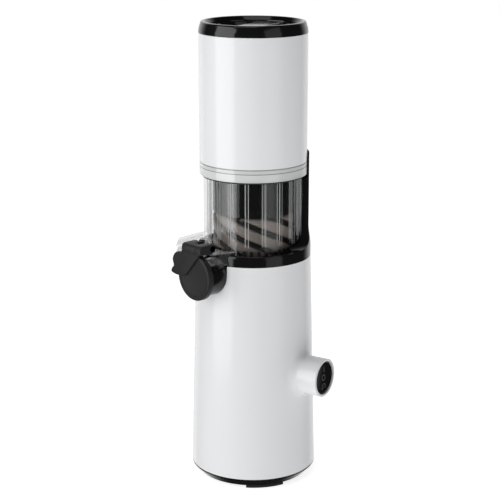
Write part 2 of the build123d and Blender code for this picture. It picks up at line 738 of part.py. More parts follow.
def gearbox_screws():
    screw = rod(1.9, cover_z - 6, well_z - collar_floor - 3, ear_r)
    screw += rod(3.4, cover_z - 8, cover_z - 6, ear_r)
    return around(screw, 4, 45)


# ---- Motor ----
def motor_can():
    can = tube(motor_r, motor_r - can_wall, motor_z0 + 3, motor_z1)
    can += rod(motor_r - can_wall, motor_z1 - bearing_width, motor_z1)
    return can - rod(bearing_r, motor_z1 - bearing_width, motor_z1)


def motor_end_cap():
    cap = tube(motor_r, bearing_r, motor_z0, motor_z0 + 3)
    cap += tube(bearing_r + 3, bearing_r, motor_z0 + 3, motor_z0 + 4.4)
    opening = block(14, 24, -5, 5, motor_z0, motor_z0 + 3)
    return cap - (Part() + around(opening, 4, 45))


def motor_bearings():
    low = tube(bearing_r, motor_shaft_r + running_gap, motor_z0, motor_z0 + bearing_width)
    high = tube(bearing_r, motor_shaft_r + running_gap, motor_z1 - bearing_width, motor_z1)
    return [low, high]


def motor_magnets():
    outer = motor_r - can_wall
    arc = turned([(outer - magnet_thickness, motor_z0 + 12), (outer, motor_z0 + 12), (outer, motor_z1 - 8),
                  (outer - magnet_thickness, motor_z1 - 8)], 140, -70)
    return around(arc, 2)


def brush_holders():
    holder = block(9.5, 22, -3, 3, motor_z0 + 4.5, motor_z0 + 10.5)
    return around(holder, 2)


def motor_shaft():
    return rod(motor_shaft_r, motor_z0 - 12, stage_1_z + gear_width + 0.4)


def rotor_core():
    core = tube(rotor_r, motor_shaft_r, motor_z0 + 18, motor_z1 - 14)
    slot = block(rotor_r - 9, rotor_r + 1, -1.3, 1.3, motor_z0 + 18, motor_z1 - 14)
    slot += rod(2.4, motor_z0 + 18, motor_z1 - 14, rotor_r - 9)
    return core - (Part() + around(slot, 12, 15))


def rotor_windings():
    low = turned([(8, motor_z0 + 13), (rotor_r - 6, motor_z0 + 13), (rotor_r - 3, motor_z0 + 16),
                  (rotor_r - 3, motor_z0 + 18), (8, motor_z0 + 18)])
    high = turned([(8, motor_z1 - 14), (rotor_r - 3, motor_z1 - 14), (rotor_r - 3, motor_z1 - 12),
                   (rotor_r - 6, motor_z1 - 9), (8, motor_z1 - 9)])
    return [low, high]


def commutator():
    drum = tube(9, motor_shaft_r, motor_z0 + 4.8, motor_z0 + 12.6)
    slot = block(8, 10, -0.3, 0.3, motor_z0 + 4.8, motor_z0 + 12.6)
    return drum - (Part() + around(slot, 12))


def motor_fan():
    z0 = motor_z0 - 11
    z1 = motor_z0 - 2
    blade = Rot(25, 0, 0) * Box(fan_r - 6, 1.2, 9.0, align=(Align.MIN, Align.CENTER, Align.CENTER))
    blade = Pos(6, 0, (z0 + z1) / 2) * blade & block(6, fan_r, -8, 8, z0, z1)
    return rod(8, z0, z1) + around(blade, 9) - rod(motor_shaft_r, z0, z1)


# ---- Control board ----
def control_board():
    return block(-34, 34, -25, 25, board_z, board_z + 1.6)


def board_parts():
    z = board_z + 1.6
    return [block(8, 24, -18, -2, z, z + 7), block(-28, -12, -20, -8, z, z + 6), rod(4, z, z + 7, -20, 12),
            rod(4, z, z + 7, -8, 12), block(6, 28, 10, 20, z, z + 4)]


# ---- Write the parts ----
pieces = {
    "foot_pads": foot_pads, "base_plate": base_plate, "base_screws": base_screws, "body_shell": body_shell,
    "cord_inlet": cord_inlet, "collar": collar, "spine": spine, "spine_cover": spine_cover,
    "reed_sensor": reed_sensor, "shaft_seal": shaft_seal,
    "juice_bowl": juice_bowl, "bowl_gasket": bowl_gasket, "bowl_seal": bowl_seal, "strainer": strainer,
    "auger_screw": auger_screw, "auger_foot": auger_foot, "drive_socket": drive_socket,
    "feed_drum": feed_drum,
    "hopper_skirt": hopper_skirt, "hopper_tube": hopper_tube, "feed_chute": feed_chute,
    "hopper_magnet": hopper_magnet, "trim_ring": trim_ring,
    "lid_cap": lid_cap, "lid_liner": lid_liner,
    "cap_disc": cap_disc, "cap_lever": cap_lever, "cap_seal": cap_seal,
    "switch_boss": switch_boss, "switch_body": switch_body, "switch_pin": switch_pin,
    "switch_rocker": switch_rocker,
    "gearbox_housing": gearbox_housing, "gearbox_cover": gearbox_cover, "gearbox_screws": gearbox_screws,
    "ring_gear": ring_gear, "output_bearing": output_bearing, "output_shaft": output_shaft,
    "motor_can": motor_can, "motor_end_cap": motor_end_cap,
    "motor_bearings": motor_bearings, "motor_magnets": motor_magnets, "brush_holders": brush_holders,
    "motor_shaft": motor_shaft, "rotor_core": rotor_core, "rotor_windings": rotor_windings,
    "commutator": commutator, "motor_fan": motor_fan,
    "control_board": control_board, "board_parts": board_parts,
    "sun_gear_1": lambda: sun_gear(stage_1_z, motor_shaft_r),
    "sun_gear_2": lambda: sun_gear(stage_2_z, motor_shaft_r),
    "carrier_1": carrier_1, "carrier_2": carrier_2,
}
for i, letter in enumerate("abc"):
    pieces[f"planet_1{letter}"] = lambda index=i: planet_gear(stage_1_z, index)
    pieces[f"planet_2{letter}"] = lambda index=i: planet_gear(stage_2_z, index)

os.makedirs("parts", exist_ok=True)
for name, make in pieces.items():
    made = make()
    export_step(Compound(children=list(made)) if isinstance(made, list) else made, f"parts/{name}.step")
    print(name)
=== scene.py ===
# %% [markdown]
# # A slow juicer
# The juicer is already designed: every node of the CAD frame has its true place and size. This lesson
# gives it its looks. Each step says what a piece or a finish is on the real machine, how it could be
# made, and why it is made this way here. The frame has to be loaded first, because every position below
# is read from it.

# %% Load the frame
import json
from math import atan2, cos, hypot, pi, radians, sin, tau

import bmesh
import bpy
from mathutils import Matrix, Vector


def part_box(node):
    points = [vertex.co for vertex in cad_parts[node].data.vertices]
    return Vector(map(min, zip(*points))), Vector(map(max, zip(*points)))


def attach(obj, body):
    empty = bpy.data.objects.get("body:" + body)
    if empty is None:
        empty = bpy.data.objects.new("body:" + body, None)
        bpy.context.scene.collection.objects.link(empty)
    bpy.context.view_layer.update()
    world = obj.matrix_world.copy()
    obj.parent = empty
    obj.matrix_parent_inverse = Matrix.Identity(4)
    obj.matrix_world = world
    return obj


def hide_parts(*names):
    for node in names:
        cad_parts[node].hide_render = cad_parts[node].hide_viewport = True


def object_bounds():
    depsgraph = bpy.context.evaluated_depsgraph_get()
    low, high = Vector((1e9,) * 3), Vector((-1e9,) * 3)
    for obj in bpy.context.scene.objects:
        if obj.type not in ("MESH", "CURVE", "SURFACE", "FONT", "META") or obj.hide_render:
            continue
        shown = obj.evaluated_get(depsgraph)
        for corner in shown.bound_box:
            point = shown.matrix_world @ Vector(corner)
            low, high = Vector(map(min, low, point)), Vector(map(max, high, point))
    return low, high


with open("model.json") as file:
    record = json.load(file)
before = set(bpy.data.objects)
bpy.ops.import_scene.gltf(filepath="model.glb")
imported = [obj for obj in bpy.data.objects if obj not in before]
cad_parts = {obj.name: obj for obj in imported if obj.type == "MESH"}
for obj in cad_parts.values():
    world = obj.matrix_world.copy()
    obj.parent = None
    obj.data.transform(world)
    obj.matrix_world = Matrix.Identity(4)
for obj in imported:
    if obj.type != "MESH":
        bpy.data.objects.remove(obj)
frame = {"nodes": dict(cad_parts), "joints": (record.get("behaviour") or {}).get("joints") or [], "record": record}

frame_low, frame_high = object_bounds()
mm = 0.001
chute_wall = 2.3 * mm
nodes = frame["nodes"]
print("nodes loaded:", len(nodes))

# %% [markdown]
# ## Measures taken from the frame
# The main axis is X = 0, Y = 0 with Z up, the spout points along -Y and the spine stands along +Y. A
# round node's radius is half its box, so nothing is typed twice.

# %% Read the main sizes
hopper_low, hopper_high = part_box("hopper_tube")
trim_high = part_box("trim_ring")[1]
screw_low, screw_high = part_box("auger_screw")
shell_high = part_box("body_shell")[1]
cap_low, cap_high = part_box("cap_disc")
lever_low, lever_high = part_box("cap_lever")
lid_low, lid_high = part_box("lid_cap")
chute_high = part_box("feed_chute")[1]
joints = {joint["name"]: joint for joint in frame["joints"]}
hopper_r = hopper_high.x
trim_r = trim_high.x
mouth_r = chute_high.x - chute_wall
screw_r = screw_high.x
top_z = frame_high[2]
cap_centre = Vector((0, cap_high.y, (cap_low.z + cap_high.z) / 2))
cap_r = cap_high.x
hinge_at = Vector(joints["cap_swing"]["pos_m"])
switch_at = Vector(joints["switch_tilt"]["pos_m"])
switch_turn = atan2(switch_at.y, switch_at.x)
print("top at", round(top_z / mm, 1), "mm; hopper radius", round(hopper_r / mm, 1), "mm")

# %% [markdown]
# ## Camera
# A product picture of a tall thing is taken from far away with a long lens, so that its sides stay nearly
# parallel. The camera stands to the right of the spout, a little above the juicer, and looks down at it.
# It could be aimed with a Track To constraint, but two turns written as numbers are easier to read and
# can't drift.

# %% Place the camera
camera_turn = radians(47.5)
camera_distance = 1.266
camera_height = 0.551
camera_pitch = radians(14.96)
lens_length = 103.2
lens_shift = -0.0066

camera_data = bpy.data.cameras.new("camera")
camera_data.sensor_width = 36.0
camera_data.lens = lens_length
camera_data.shift_x = lens_shift
camera = bpy.data.objects.new("camera", camera_data)
camera.location = (camera_distance * sin(camera_turn), -camera_distance * cos(camera_turn), camera_height)
camera.rotation_euler = (pi / 2 - camera_pitch, 0, camera_turn)
bpy.context.collection.objects.link(camera)
bpy.context.scene.camera = camera

# %% [markdown]
# ## Studio
# The set is a pale floor and a white surround. Two tall soft boxes stand left and right of the camera:
# each one is seen as an upright band in the glossy black rings, the left one brighter. Area lights make
# both the light and the band, which is why they are used here and not spots.

# %% Build the studio
bpy.context.scene.view_settings.view_transform = "Standard"
world = bpy.data.worlds.new("studio")
bpy.context.scene.world = world
world.use_nodes = True
surround = world.node_tree.nodes["Background"]
surround.inputs["Color"].default_value = (1.0, 1.0, 1.0, 1.0)
rays = world.node_tree.nodes.new("ShaderNodeLightPath")


def world_maths(operation, first, second):
    """One Math node in the world's tree."""
    made = world.node_tree.nodes.new("ShaderNodeMath")
    made.operation = operation
    for socket, value in zip(made.inputs, (first, second)):
        if isinstance(value, float):
            socket.default_value = value
        else:
            world.node_tree.links.new(value, socket)
    return made.outputs[0]


backdrop_level, fill_level, mirror_level, behind_level = 1.0, 0.2, 0.02, 0.85
seen = world_maths("MULTIPLY", rays.outputs["Is Camera Ray"], backdrop_level - fill_level)
away = world.node_tree.nodes.new("ShaderNodeVectorMath")
away.operation = "DOT_PRODUCT"
away.inputs[1].default_value = (-sin(camera_turn), cos(camera_turn), 0)
direction = world.node_tree.nodes.new("ShaderNodeTexCoord")
world.node_tree.links.new(direction.outputs["Generated"], away.inputs[0])
behind = world.node_tree.nodes.new("ShaderNodeMapRange")
behind.interpolation_type = "SMOOTHSTEP"
behind_limits = {"From Min": 0.45, "From Max": 0.85}
behind_limits.update({"To Min": mirror_level - fill_level, "To Max": behind_level - fill_level})
for socket_name, value in behind_limits.items():
    behind.inputs[socket_name].default_value = value
world.node_tree.links.new(away.outputs["Value"], behind.inputs["Value"])
mirrored = world_maths("MULTIPLY", rays.outputs["Is Glossy Ray"], behind.outputs["Result"])
level = world_maths("ADD", world_maths("ADD", seen, mirrored), fill_level)
world.node_tree.links.new(level, surround.inputs["Strength"])


def softbox(name, turn, distance, height, size, power, target_z=0.22):
    """Area light at an angle from the camera's direction, aimed at the juicer."""
    data = bpy.data.lights.new(name, "AREA")
    data.shape = "RECTANGLE"
    data.size, data.size_y = size
    data.energy = power
    light = bpy.data.objects.new(name, data)
    angle = camera_turn + radians(turn)
    light.location = (distance * sin(angle), -distance * cos(angle), height)
    aim = Vector((0, 0, target_z)) - light.location
    light.rotation_euler = aim.to_track_quat("-Z", "Y").to_euler()
    bpy.context.collection.objects.link(light)
    return light


softbox("left_box", -62, 1.5, 0.42, (1.25, 1.6), 12.5)
softbox("right_box", 42, 1.5, 0.42, (0.95, 1.5), 2.1)
softbox("top_box", -20, 0.9, 1.9, (1.4, 1.4), 5.5)

floor_mesh = bpy.data.meshes.new("floor")
reach = 9.0
floor_corners = [(-reach, -reach, 0), (reach, -reach, 0), (reach, reach, 0), (-reach, reach, 0)]
floor_mesh.from_pydata(floor_corners, [], [(0, 1, 2, 3)])
floor = bpy.data.objects.new("floor", floor_mesh)
floor.visible_glossy = False
bpy.context.collection.objects.link(floor)
paper = bpy.data.materials.new("floor_paper")
paper.use_nodes = True
paper_shader = paper.node_tree.nodes["Principled BSDF"]
paper_shader.inputs["Base Color"].default_value = (0.9, 0.9, 0.9, 1.0)
paper_shader.inputs["Roughness"].default_value = 0.9
paper_shader.inputs["Emission Color"].default_value = (1.0, 1.0, 1.0, 1.0)
paper_shader.inputs["Emission Strength"].default_value = 0.82
floor_mesh.materials.append(paper)

# %% [markdown]
# ## Shader maths as expressions
# A finish is a small network of shader nodes. Placing Math nodes one by one hides what they work out, so
# a socket is wrapped in a class that knows the ordinary operators: `1 - mask * 0.4` then adds the Math
# nodes by itself. Every other kind of node comes from one method, which sets the node up first and fills
# its sockets after.

# %% A socket that understands arithmetic
class Port:
    """One output socket of a finish, usable in + - * / expressions."""

    def __init__(self, finish, socket):
        self.finish = finish
        self.socket = socket

    def maths(self, operation, left, right):
        return self.finish.node("ShaderNodeMath", {"operation": operation}, {0: left, 1: right})

    def __add__(self, other):
        return self.maths("ADD", self, other)

    def __sub__(self, other):
        return self.maths("SUBTRACT", self, other)

    def __mul__(self, other):
        return self.maths("MULTIPLY", self, other)

    def __truediv__(self, other):
        return self.maths("DIVIDE", self, other)

    def __pow__(self, other):
        return self.maths("POWER", self, other)

    def clamped(self):
        return self.maths("MINIMUM", self.maths("MAXIMUM", self, 0.0), 1.0)

    def __abs__(self):
        return self.maths("ABSOLUTE", self, 0.0)

    def __lt__(self, other):
        return self.maths("LESS_THAN", self, other)

    def __gt__(self, other):
        return self.maths("GREATER_THAN", self, other)

    def __radd__(self, other):
        return self.maths("ADD", other, self)

    def __rsub__(self, other):
        return self.maths("SUBTRACT", other, self)

    def __rmul__(self, other):
        return self.maths("MULTIPLY", other, self)

    def __rtruediv__(self, other):
        return self.maths("DIVIDE", other, self)


# %% A finish: one material with its shader
class Finish:
    """A material, its Principled shader and the nodes that feed it."""

    def __init__(self, name, **constants):
        self.material = bpy.data.materials.new(name)
        self.material.use_nodes = True
        self.tree = self.material.node_tree
        self.shader = self.tree.nodes["Principled BSDF"]
        for socket_name, value in constants.items():
            self.shader.inputs[socket_name.replace("_", " ")].default_value = value

    def node(self, kind, settings=None, sockets=None, output=0):
        """Any other node: its settings first, then the values or links of its sockets."""
        made = self.tree.nodes.new(kind)
        for setting, value in (settings or {}).items():
            setattr(made, setting, value)
        for socket, value in (sockets or {}).items():
            self.fill(made.inputs[socket], value)
        return Port(self, made.outputs[output])

    def fill(self, socket, value):
        if isinstance(value, Port):
            self.tree.links.new(value.socket, socket)
        else:
            socket.default_value = value

    def place(self):
        """Where a point lies on the piece, in metres."""
        return self.node("ShaderNodeTexCoord", output=3)

    def noise(self, scale, detail=2.0, stretch=(1, 1, 1)):
        """Soft noise with features about 1/scale metres wide."""
        scaled = self.node("ShaderNodeVectorMath", {"operation": "MULTIPLY"}, {0: self.place(), 1: stretch})
        return self.node("ShaderNodeTexNoise", None, {"Vector": scaled, "Scale": scale, "Detail": detail})

    def between(self, factor, first, second):
        """A colour that goes from the first to the second."""
        start = first if isinstance(first, Port) else (*first, 1.0)
        sockets = {0: factor, 6: start, 7: (*second, 1.0)}
        return self.node("ShaderNodeMix", {"data_type": "RGBA"}, sockets, output=2)

    def bump(self, height, strength, depth):
        """A bump that feeds the shader's normal."""
        sockets = {"Height": height, "Strength": strength, "Distance": depth}
        self.set("Normal", self.node("ShaderNodeBump", None, sockets))

    def set(self, socket_name, value):
        self.fill(self.shader.inputs[socket_name], value)


# %% [markdown]
# ## Finishes
# Moulded gloss plastic is never perfectly flat: it has a faint orange peel a couple of millimetres
# across, and a slight change of shine where it has been handled. Both are noise, far too fine to see as a
# pattern.

# %% Gloss white and gloss black
def gloss_white():
    paint = Finish("gloss_white", Coat_Weight=0.35, Coat_Roughness=0.05, IOR=1.5)
    paint.set("Base Color", paint.between(paint.noise(9), (0.775, 0.785, 0.80), (0.80, 0.808, 0.822)))
    paint.set("Roughness", 0.2 + paint.noise(45) * 0.06)
    paint.bump(paint.noise(420), 0.05, 0.0002)
    return paint


def gloss_black():
    paint = Finish("gloss_black", Coat_Weight=0.2, Coat_Roughness=0.04, IOR=1.5)
    paint.set("Base Color", paint.between(paint.noise(12), (0.0045, 0.0045, 0.005), (0.007, 0.007, 0.0075)))
    paint.set("Roughness", 0.1 + paint.noise(60) * 0.05)
    paint.bump(paint.noise(380), 0.05, 0.0002)
    return paint


# %% [markdown]
# The spout cap, the upper auger and the liners are satin plastic from a spark-eroded mould: dark grey and
# not black, because the fine grain scatters light. The grain is a bump of very fine noise.

# %% Satin black
def satin_black():
    plastic = Finish("satin_black", IOR=1.48)
    tone = plastic.between(plastic.noise(30), (0.014, 0.014, 0.0145), (0.022, 0.0215, 0.022))
    plastic.set("Base Color", tone)
    plastic.set("Roughness", 0.40 + plastic.noise(140) * 0.12)
    plastic.bump(plastic.noise(2600, 3), 0.22, 0.0002)
    return plastic


# %% [markdown]
# The bowl and the skirt under the hopper are clear plastic with thick walls. True refraction would be the
# exact way, but it blocks the studio lights inside the bowl and is slow to clear of noise. Here each
# surface is a thin mirror laid over nothing: almost invisible face on, and strong at a grazing angle, so
# edges show as bright lines. The bright lines at the rib edges and on the up-facing faces round the spout
# are painted highlights: pale opaque marks in place of the light that clear ribs refract. The skirt gets a
# mostly opaque pale colour, painted light for the bright lip seen through it.

# %% Clear plastic
rib_count = 18
rib_edge = 0.0885
wall_inner, wall_outer, wall_foot, wall_top = 40.5 * mm, 45.2 * mm, 226 * mm, 286 * mm
spout_from, spout_top = 46.2 * mm, 240 * mm


def clear_plastic(name, body=0.045, rim=0.7, metallic=1.0, ribs=True, steps=()):
    """Thin mirror with painted highlight lines at the rib edges and on the spout's up-facing faces, or fine dark
    steps at given heights.
    """
    plastic = Finish(name, IOR=1.49)
    grazing = plastic.node("ShaderNodeLayerWeight", None, {"Blend": 0.5}, output=1)
    plastic.set("Roughness", 0.05 + plastic.noise(40) * 0.05)
    plastic.bump(plastic.noise(160), 0.05, 0.0003)
    x, y, z = (plastic.node("ShaderNodeSeparateXYZ", None, {0: plastic.place()}, output=k) for k in range(3))
    turn = plastic.node("ShaderNodeMath", {"operation": "ARCTAN2"}, {0: y, 1: x})
    turn = turn * (rib_count / tau) + rib_count
    off_rib = abs(turn.maths("FRACT", turn, 0.0) - 0.5)
    radius = (x * x + y * y) ** 0.5
    on_wall = (radius > wall_inner) * (radius < wall_outer) * (z > wall_foot) * (z < wall_top)
    # Painted highlights: pale opaque lines along the rib edges, in place of the light that the ribs refract.
    line = (abs(off_rib - rib_edge) < 0.012) * on_wall * (1.0 if ribs else 0.0)
    facing_up = plastic.node("ShaderNodeNewGeometry", output=1)
    up = plastic.node("ShaderNodeSeparateXYZ", None, {0: facing_up}, output=2)
    # Up-facing faces round the spout get the same pale mark: a painted highlight on their tops.
    on_top = (up > 0.7) * (radius > spout_from) * (z < spout_top)
    line = line + on_top * 0.6
    plastic.set("Metallic", metallic - line * metallic)
    step = sum((abs(z - height) < 0.35 * mm for height in steps), 0.0 * z)
    clear = plastic.between(grazing, (0.92, 0.93, 0.93), (0.82, 0.83, 0.84))
    plastic.set("Base Color", plastic.between(step.clamped() * 0.8, clear, (0.16, 0.16, 0.16)))
    plastic.set("Alpha", body + grazing ** 3 * rim + line * 0.4)
    return plastic


# %% [markdown]
# The screw is a hard brown-grey food plastic, polished by use. Fine scratches run round it, because that
# is how the fruit moves over it, so the noise is stretched along the turn by being squeezed along Z.
# Down in the grooves the colour falls to near black: that is painted shade.

# %% Auger plastic
def auger_plastic():
    plastic = Finish("auger_plastic", IOR=1.5, Coat_Weight=0.4, Coat_Roughness=0.12)
    wear = plastic.noise(120, 3, (1, 1, 6))
    x, y = (plastic.node("ShaderNodeSeparateXYZ", None, {0: plastic.place()}, output=k) for k in range(2))
    # Painted shade: the colour goes to near black as the surface sinks into a groove.
    groove_shade_mask = (((x * x + y * y) ** 0.5 - (screw_r - 3.4 * mm)) / (2.6 * mm)).clamped()
    tone = groove_shade_mask * (0.75 + wear * 0.25)
    plastic.set("Base Color", plastic.between(tone, (0.012, 0.011, 0.010), (0.27, 0.235, 0.21)))
    plastic.set("Roughness", 0.24 + wear * 0.14)
    plastic.bump(plastic.noise(900, 3, (1, 1, 5)), 0.12, 0.0002)
    return plastic


# %% [markdown]
# The finishes of what is inside are simpler, but each still has the grain of its material: turned steel
# has fine rings, ferrite and rubber are dull and mottled, and nylon gears are slightly waxy. One function
# serves them all.

# %% Plain materials
def plain(name, dark, light, roughness, spread, grain, metallic=0.0, stretch=(1, 1, 1), depth=0.15):
    """A mottled material: colour and shine between two limits, with a bump of the same grain."""
    made = Finish(name, Metallic=metallic)
    mottle = made.noise(grain, 3, stretch)
    made.set("Base Color", made.between(mottle, dark, light))
    made.set("Roughness", roughness + mottle * spread)
    made.bump(mottle, depth, 0.0002)
    return made


skirt_steps = (hopper_low.z - 0.5 * mm, hopper_low.z - 4.2 * mm)
finishes = {
    "gloss_white": gloss_white(),
    "gloss_black": gloss_black(),
    "satin_black": satin_black(),
    "clear_plastic": clear_plastic("clear_plastic"),
    # The skirt's finish is mostly opaque pale plastic: painted light for the bright lip seen through the clear
    # skirt; its dark steps are joint lines.
    "clear_painted_light": clear_plastic("clear_painted_light", 0.62, 0.3, 0.1, False, skirt_steps),
    "auger_plastic": auger_plastic(),
    "silicone": plain("silicone", (0.018, 0.018, 0.018), (0.03, 0.03, 0.03), 0.5, 0.2, 900),
    "foot_rubber": plain("foot_rubber", (0.012, 0.012, 0.012), (0.024, 0.024, 0.024), 0.6, 0.25, 1200),
    "steel": plain("steel", (0.42, 0.42, 0.43), (0.62, 0.62, 0.63), 0.24, 0.18, 300, 1.0, (1, 1, 14)),
    "magnet_ferrite": plain("magnet_ferrite", (0.03, 0.03, 0.032), (0.06, 0.06, 0.062), 0.55, 0.2, 700),
    "copper": plain("copper", (0.55, 0.22, 0.10), (0.78, 0.36, 0.18), 0.3, 0.15, 900, 1.0, (1, 1, 4)),
    "gear_nylon": plain("gear_nylon", (0.62, 0.60, 0.52), (0.72, 0.70, 0.62), 0.4, 0.12, 260),
    "casing_plastic": plain("casing_plastic", (0.05, 0.05, 0.052), (0.08, 0.08, 0.082), 0.45, 0.15, 1500),
    "board_laminate": plain("board_laminate", (0.02, 0.12, 0.05), (0.03, 0.17, 0.07), 0.35, 0.1, 500),
    "board_components": plain("board_components", (0.02, 0.02, 0.02), (0.06, 0.06, 0.06), 0.4, 0.2, 200),
    "symbol_print": plain("symbol_print", (0.05, 0.05, 0.05), (0.08, 0.08, 0.08), 0.5, 0.1, 800),
}
print("finishes:", len(finishes))

# %% [markdown]
# ## Dress the CAD nodes
# A CAD node whose shape is right stays as it is and only gets its finish. Its facets are hidden by smooth
# shading, which is kept sharp wherever two faces meet at a real corner.

# %% Give every node its finish
def dress(piece, finish_name, sharp=32):
    """Put a finish on a piece and shade it smooth up to a corner's angle."""
    mesh = piece.data
    mesh.materials.clear()
    mesh.materials.append(finishes[finish_name].material)
    mesh.shade_smooth()
    mesh.set_sharp_from_angle(angle=radians(sharp))
    return piece


slot_of = {entry["node"]: entry["material_slot"] for entry in frame["record"]["subparts"]}
for name, node in nodes.items():
    dress(node, slot_of[name])
# The skirt wears the pale finish whose colour is painted light.
dress(nodes["hopper_skirt"], "clear_painted_light")
print("nodes dressed:", len(slot_of))

# %% [markdown]
# ## Turned pieces
# Most of the juicer is round. Such a piece is drawn as half a section and turned about its axis, and
# every corner of the section gets a small arc, because a moulded edge always catches a thin line of
# light. Blender's Screw modifier could turn the section too; writing the rings directly keeps the mesh
# even and closed.

# %% Section and lathe helpers
def softened(corners, steps=5):
    """Closed section whose corners (radius, height, arc) are rounded with arcs."""
    points = []
    for i, (x, z, arc) in enumerate(corners):
        here = Vector((x, z))
        before = Vector(corners[i - 1][:2]) - here
        after = Vector(corners[(i + 1) % len(corners)][:2]) - here
        if arc <= 0:
            points.append(here)
            continue
        half = before.angle(after) / 2
        reach = min(arc / abs(sin(half) / cos(half)), before.length * 0.49, after.length * 0.49)
        start = here + before.normalized() * reach
        end = here + after.normalized() * reach
        for k in range(steps + 1):
            t = k / steps
            points.append(start * (1 - t) ** 2 + here * 2 * t * (1 - t) + end * t ** 2)
    return points


def new_piece(name, verts, faces, body, finish_name, sharp=32):
    """Mesh object that rides on a body and wears a finish."""
    mesh = bpy.data.meshes.new(name)
    mesh.from_pydata([tuple(v) for v in verts], [], faces)
    mesh.update()
    piece = bpy.data.objects.new(name, mesh)
    bpy.context.collection.objects.link(piece)
    dress(piece, finish_name, sharp)
    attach(piece, body)
    return piece


def lathe(name, corners, body, finish_name, place=None, steps=224, sharp=32):
    """Turn a closed section about Z, then carry the piece to its place."""
    section = softened([(r * mm, z * mm, arc * mm) for r, z, arc in corners])
    count = len(section)
    verts = []
    for i in range(steps):
        a = tau * i / steps
        verts += [Vector((p.x * cos(a), p.x * sin(a), p.y)) for p in section]
    faces = []
    for i in range(steps):
        near = i * count
        far = (i + 1) % steps * count
        faces += [(near + k, far + k, far + (k + 1) % count, near + (k + 1) % count) for k in range(count)]
    piece = new_piece(name, verts, faces, body, finish_name, sharp)
    weld(piece)
    if place is not None:
        piece.data.transform(place)
    return piece


def weld(piece):
    """Join points that fall together on the axis and drop the faces that vanish there."""
    work = bmesh.new()
    work.from_mesh(piece.data)
    bmesh.ops.remove_doubles(work, verts=work.verts, dist=1e-6)
    bmesh.ops.recalc_face_normals(work, faces=work.faces)
    work.to_mesh(piece.data)
    work.free()


# %% [markdown]
# The hopper is a plain white tube, and the trim ring above it leans inwards and ends in a thin bright
# lip.

# %% Hopper and trim ring
wall_z0, wall_z1 = hopper_low.z / mm, hopper_high.z / mm
wall_out = hopper_r / mm
wall_in = wall_out - 2.2
hopper_section = [(wall_in, wall_z0, 0.3), (wall_out, wall_z0, 0.5)]
hopper_section += [(wall_out, wall_z1, 0.3), (wall_in, wall_z1, 0.2)]
hopper = lathe("hopper_wall", hopper_section, "hopper", "gloss_white")
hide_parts("hopper_tube")

trim_out, trim_in, top = trim_r / mm, mouth_r / mm, top_z / mm
trim_section = [(trim_in, wall_z1, 0.2), (trim_out, wall_z1, 0.5), (trim_out - 0.5, wall_z1 + 4, 6)]
trim_section += [(trim_out - 2.3, top, 1.7), (trim_out - 5.4, top, 1.0)]
trim_section += [(trim_in + 0.6, top - 3.4, 1.2), (trim_in, top - 6, 1.0)]
trim = lathe("trim_lip", trim_section, "hopper", "gloss_black")
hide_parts("trim_ring")
print("hopper and trim made")

# %% [markdown]
# ## Pieces made of rings
# Everything that isn't turned can still be described as a row of rings with the same number of points: a
# screw is a stack of wavy rings, and a plate is its outline repeated, drawn in a little at the rounded
# edge.

# %% Ring and plate helpers
def ringed(name, rings, body, finish_name, place=None, sharp=32):
    """Join rings of equal count into a skin and close both ends."""
    count = len(rings[0])
    verts = [point for ring in rings for point in ring]
    faces = []
    for i in range(len(rings) - 1):
        near = i * count
        faces += [(near + k, near + (k + 1) % count, near + count + (k + 1) % count, near + count + k)
                  for k in range(count)]
    faces.append(tuple(range(count - 1, -1, -1)))
    faces.append(tuple(range(len(verts) - count, len(verts))))
    piece = new_piece(name, [Vector(v) * mm for v in verts], faces, body, finish_name, sharp)
    weld(piece)
    if place is not None:
        piece.data.transform(place)
    return piece


def drawn_in(outline, amount):
    """Outline (counter-clockwise) moved inwards by an amount at every point."""
    moved = []
    for i, point in enumerate(outline):
        here = Vector(point)
        before = (here - Vector(outline[i - 1])).normalized()
        after = (Vector(outline[(i + 1) % len(outline)]) - here).normalized()
        along = (before + after).normalized()
        moved.append((here.x - along.y * amount, here.y + along.x * amount))
    return moved


def slab(name, outline, z0, z1, edge, body, finish_name, place, both=False):
    """Plate from z0 to z1 with its far edge rounded, or both edges."""
    steps = 4
    levels = [(edge * (1 - sin(pi / 2 * k / steps)), z0 + edge * (1 - cos(pi / 2 * k / steps)))
              for k in range(steps + 1)] if both else [(0, z0)]
    levels += [(edge * (1 - cos(pi / 2 * k / steps)), z1 - edge * (1 - sin(pi / 2 * k / steps)))
               for k in range(steps + 1)]
    rings = [[(x, y, z) for x, y in drawn_in(outline, inset)] for inset, z in levels]
    return ringed(name, rings, body, finish_name, place)


def through(points, steps=8):
    """Smooth open line through the points (Catmull-Rom)."""
    padded = [points[0], *points, points[-1]]
    line = []
    for i in range(1, len(padded) - 2):
        a, b, c, d = (Vector(padded[i + k]) for k in (-1, 0, 1, 2))
        for k in range(steps):
            t = k / steps
            line.append(tuple(0.5 * (2 * b + (c - a) * t + (2 * a - 5 * b + 4 * c - d) * t * t
                                     + (3 * b - a - 3 * c + d) * t ** 3)))
    return line + [tuple(points[-1])]


def smooth_step(value):
    value = min(max(value, 0.0), 1.0)
    return value * value * (3 - 2 * value)


# %% [markdown]
# ## The auger
# The screw has six left-handed flights with rounded backs and narrow grooves between them; the grooves
# look dark because the auger's finish paints shade into them. Its shoulder is rounded over, and that is
# where the light catches it. One formula gives the radius at any angle and height.

# %% Auger screw
screw_z0, screw_z1 = screw_low.z / mm, screw_high.z / mm
starts, lead, groove_depth, bore_r, socket_depth = 6, 95.0, 3.6, 9.5, 12.0


def screw_radius(turn, z):
    """Radius of the screw's surface, in millimetres."""
    phase = (turn / tau + (z - screw_z0) / lead) * starts % 1.0
    off_groove = min(phase, 1 - phase)
    back = smooth_step((off_groove - 0.12) / 0.10)
    crown = 0.5 * ((off_groove - 0.5) / 0.5) ** 2
    return screw_r / mm - groove_depth * (1 - back) - crown


